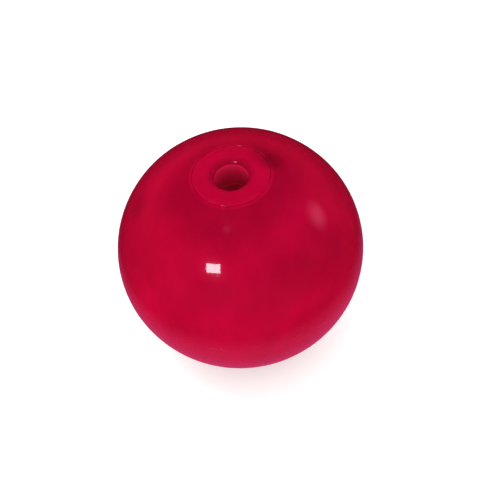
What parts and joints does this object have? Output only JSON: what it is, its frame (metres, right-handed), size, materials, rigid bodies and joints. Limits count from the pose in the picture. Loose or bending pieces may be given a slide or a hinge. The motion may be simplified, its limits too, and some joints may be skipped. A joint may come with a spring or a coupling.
{
  "type": "croquet ball",
  "caption": "Round croquet ball with a glossy moulded cover over a composition core, faced poles and a bushed bore from pole to pole.",
  "frame": {"origin": "centre of the ball, halfway along the bore", "axes": "+Z along the bore; the ball is round about Z, and it is shortest along Z"},
  "size_m": [0.092, 0.092, 0.084],
  "materials": {
    "cover": "gloss",
    "bush": "gloss",
    "sleeve": "satin",
    "core": "matte"
  },
  "bodies": {
    "root": {"upper_cover": "cover", "lower_cover": "cover", "upper_bush": "bush", "lower_bush": "bush", "bore_sleeve": "sleeve", "core": "core"}
  },
  "joints": []
}
